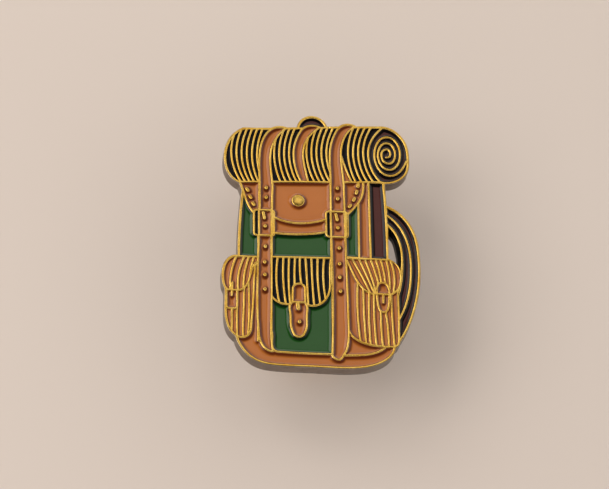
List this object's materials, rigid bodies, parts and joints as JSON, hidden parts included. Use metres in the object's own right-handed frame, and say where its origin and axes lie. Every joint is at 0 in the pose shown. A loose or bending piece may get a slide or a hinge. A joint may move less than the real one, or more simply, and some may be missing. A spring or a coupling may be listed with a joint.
{
  "type": "enamel pin",
  "caption": "Soft enamel pin shaped like a packed rucksack with a bedroll, raised metal lines, sunk enamel cells, and two needle posts with butterfly clutches.",
  "frame": {"origin": "centre of the pin's outline in plan, at the surface that its clutch wings stand on", "axes": "+Z out of the enamelled face, +Y towards the top of the artwork, +X to its right"},
  "size_m": [0.0268, 0.0378, 0.0114],
  "materials": {
    "plated_plate": "die-struck zinc alloy with bright gold plated line tops and black nickel sides and back",
    "enamel_tan": "glossy soft enamel, tan",
    "enamel_green": "glossy soft enamel, dark green",
    "enamel_black": "glossy soft enamel, black",
    "enamel_maroon": "glossy soft enamel, dark maroon",
    "post_steel": "drawn steel needle, nickel plated",
    "solder": "dull grey solder",
    "clutch_brass": "stamped brass, lacquered",
    "clutch_spring": "spring brass strip"
  },
  "bodies": {
    "badge": {"base": "plated_plate", "enamel_base_band": "enamel_tan", "enamel_base_wedge": "enamel_tan", "enamel_buckle_left_slot": "enamel_black", "enamel_buckle_left_window": "enamel_tan", "enamel_buckle_right_slot": "enamel_black", "enamel_buckle_right_window": "enamel_tan", "enamel_flap": "enamel_tan", "enamel_flap_band": "enamel_tan", "enamel_flap_corner_left": "enamel_tan", "enamel_flap_corner_right": "enamel_tan", "enamel_green_centre": "enamel_green", "enamel_green_left": "enamel_green", "enamel_green_lower": "enamel_green", "enamel_green_right": "enamel_green", "enamel_handle": "enamel_maroon", "enamel_panel_maroon": "enamel_maroon", "enamel_panel_tan": "enamel_tan", "enamel_pocket_centre": "enamel_black", "enamel_pocket_centre_tab": "enamel_tan", "enamel_pocket_left": "enamel_tan", "enamel_pocket_left_flap": "enamel_tan", "enamel_pocket_left_tab": "enamel_tan", "enamel_pocket_right": "enamel_tan", "enamel_pocket_right_flap": "enamel_tan", "enamel_pocket_right_tab": "enamel_tan", "enamel_roll_corner": "enamel_tan", "enamel_roll_left": "enamel_black", "enamel_roll_middle_left": "enamel_black", "enamel_roll_middle_right": "enamel_black", "enamel_roll_right": "enamel_black", "enamel_roll_spiral": "enamel_maroon", "enamel_shoulder_strap": "enamel_maroon", "enamel_strap_left_lower": "enamel_tan", "enamel_strap_left_upper": "enamel_tan", "enamel_strap_middle": "enamel_tan", "enamel_strap_right_lower": "enamel_tan", "enamel_strap_right_upper": "enamel_tan", "post_lower": "post_steel", "post_upper": "post_steel", "solder_lower": "solder", "solder_upper": "solder"},
    "clutch_upper": {"clutch_upper_cover": "clutch_brass", "clutch_upper_plate": "clutch_brass"},
    "clutch_upper_wing_left": {"clutch_upper_wing_left": "clutch_spring"},
    "clutch_upper_wing_right": {"clutch_upper_wing_right": "clutch_spring"},
    "clutch_lower": {"clutch_lower_cover": "clutch_brass", "clutch_lower_plate": "clutch_brass"},
    "clutch_lower_wing_left": {"clutch_lower_wing_left": "clutch_spring"},
    "clutch_lower_wing_right": {"clutch_lower_wing_right": "clutch_spring"}
  },
  "joints": [
    {"name": "clutch_upper_slide", "type": "slide", "parent": "badge", "child": "clutch_upper", "axis": [0, 0, -1], "range_m": [0, 0.008]},
    {"name": "clutch_upper_wing_left_squeeze", "type": "slide", "parent": "clutch_upper", "child": "clutch_upper_wing_left", "axis": [1, 0, 0], "range_m": [0, 0.00035], "stiffness_N_per_m": 2000, "springref_m": -0.0001},
    {"name": "clutch_upper_wing_right_squeeze", "type": "slide", "parent": "clutch_upper", "child": "clutch_upper_wing_right", "axis": [-1, 0, 0], "range_m": [0, 0.00035], "stiffness_N_per_m": 2000, "springref_m": -0.0001},
    {"name": "clutch_lower_slide", "type": "slide", "parent": "badge", "child": "clutch_lower", "axis": [0, 0, -1], "range_m": [0, 0.008]},
    {"name": "clutch_lower_wing_left_squeeze", "type": "slide", "parent": "clutch_lower", "child": "clutch_lower_wing_left", "axis": [1, 0, 0], "range_m": [0, 0.00035], "stiffness_N_per_m": 2000, "springref_m": -0.0001},
    {"name": "clutch_lower_wing_right_squeeze", "type": "slide", "parent": "clutch_lower", "child": "clutch_lower_wing_right", "axis": [-1, 0, 0], "range_m": [0, 0.00035], "stiffness_N_per_m": 2000, "springref_m": -0.0001}
  ],
  "couplings": [
    {"joint": "clutch_upper_wing_right_squeeze", "follows": "clutch_upper_wing_left_squeeze", "ratio": 1},
    {"joint": "clutch_lower_wing_right_squeeze", "follows": "clutch_lower_wing_left_squeeze", "ratio": 1}
  ]
}
